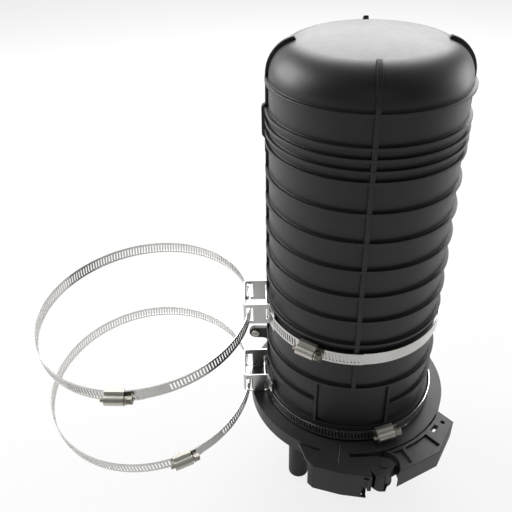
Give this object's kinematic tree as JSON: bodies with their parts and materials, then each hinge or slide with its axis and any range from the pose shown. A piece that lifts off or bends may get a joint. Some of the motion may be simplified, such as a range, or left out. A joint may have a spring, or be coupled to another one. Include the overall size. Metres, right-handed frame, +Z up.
{
  "type": "dome splice closure",
  "caption": "Black ribbed dome splice closure with a hinged sealing clamp, closed cable ports, steel straps with brackets, and pole hoops.",
  "frame": {"origin": "on the dome's axis, at the plane of the port ends that the closure stands on", "axes": "+Z up along the dome's axis, -Y to the latch side, -X to the brackets and pole hoops"},
  "size_m": [0.4289, 0.2727, 0.48],
  "materials": {
    "dome_plastic": "fine satin texture",
    "base_plastic": "fine satin texture",
    "clamp_plastic": "satin",
    "rubber": "matt",
    "steel": "plated",
    "band_steel": "rolled, bright",
    "screw_steel": "plated, slightly yellow",
    "sheet_steel": "rolled",
    "light_plastic": "satin",
    "grey_plastic": "matt",
    "clear_plastic": "clear sheet",
    "blue_plastic": "matt",
    "fabric_strap": "woven hook-and-loop"
  },
  "bodies": {
    "closure": {"dome": "dome_plastic", "base": "base_plastic", "seal_ring": "rubber", "clamp_left": "clamp_plastic", "hinge_pin": "steel", "latch_pin": "clamp_plastic", "lug_screw": "steel", "strap_band_upper": "band_steel", "strap_housing_upper": "band_steel", "strap_band_lower": "band_steel", "strap_housing_lower": "band_steel", "bracket_upper": "sheet_steel", "bracket_lower": "sheet_steel", "hoop_band_upper": "band_steel", "hoop_housing_upper": "band_steel", "hoop_band_lower": "band_steel", "hoop_housing_lower": "band_steel", "tray_frame": "sheet_steel", "frame_screws": "steel", "storage_basket": "light_plastic", "tray_holder": "grey_plastic", "tray_1": "light_plastic", "tray_2": "light_plastic", "tray_3": "light_plastic", "tray_4": "light_plastic", "tray_cover": "clear_plastic", "splice_holders": "blue_plastic", "tray_strap": "fabric_strap", "strength_clamps": "sheet_steel", "clamp_bolts": "steel"},
    "clamp_half": {"clamp_right": "clamp_plastic"},
    "lever": {"latch_lever": "clamp_plastic"},
    "strap_worm_upper": {"strap_screw_upper": "screw_steel"},
    "strap_worm_lower": {"strap_screw_lower": "screw_steel"},
    "hoop_worm_upper": {"hoop_screw_upper": "screw_steel"},
    "hoop_worm_lower": {"hoop_screw_lower": "screw_steel"}
  },
  "joints": [
    {"name": "clamp_hinge", "type": "hinge", "parent": "closure", "child": "clamp_half", "pos_m": [0, 0.109, 0.103], "axis": [0, 0, 1], "range_deg": [0, 25]},
    {"name": "latch_turn", "type": "hinge", "parent": "closure", "child": "lever", "pos_m": [0.04342, -0.1108, 0.103], "axis": [0, 0, -1], "range_deg": [0, 100]},
    {"name": "strap_upper_worm", "type": "hinge", "parent": "closure", "child": "strap_worm_upper", "pos_m": [-0.03673, -0.08249, 0.2197], "axis": [0.9135, -0.4067, 0], "continuous": true},
    {"name": "strap_lower_worm", "type": "hinge", "parent": "closure", "child": "strap_worm_lower", "pos_m": [0.04399, -0.08273, 0.11965], "axis": [0.8829, 0.4695, 0], "continuous": true},
    {"name": "hoop_upper_worm", "type": "hinge", "parent": "closure", "child": "hoop_worm_upper", "pos_m": [-0.19496, -0.1526, 0.20615], "axis": [0.9945, 0.087, 0.0589], "continuous": true},
    {"name": "hoop_lower_worm", "type": "hinge", "parent": "closure", "child": "hoop_worm_lower", "pos_m": [-0.14642, -0.13724, 0.10995], "axis": [0.8367, 0.5426, 0.0743], "continuous": true}
  ],
  "couplings": [
    {"joint": "latch_turn", "follows": "clamp_hinge", "ratio": 4}
  ]
}
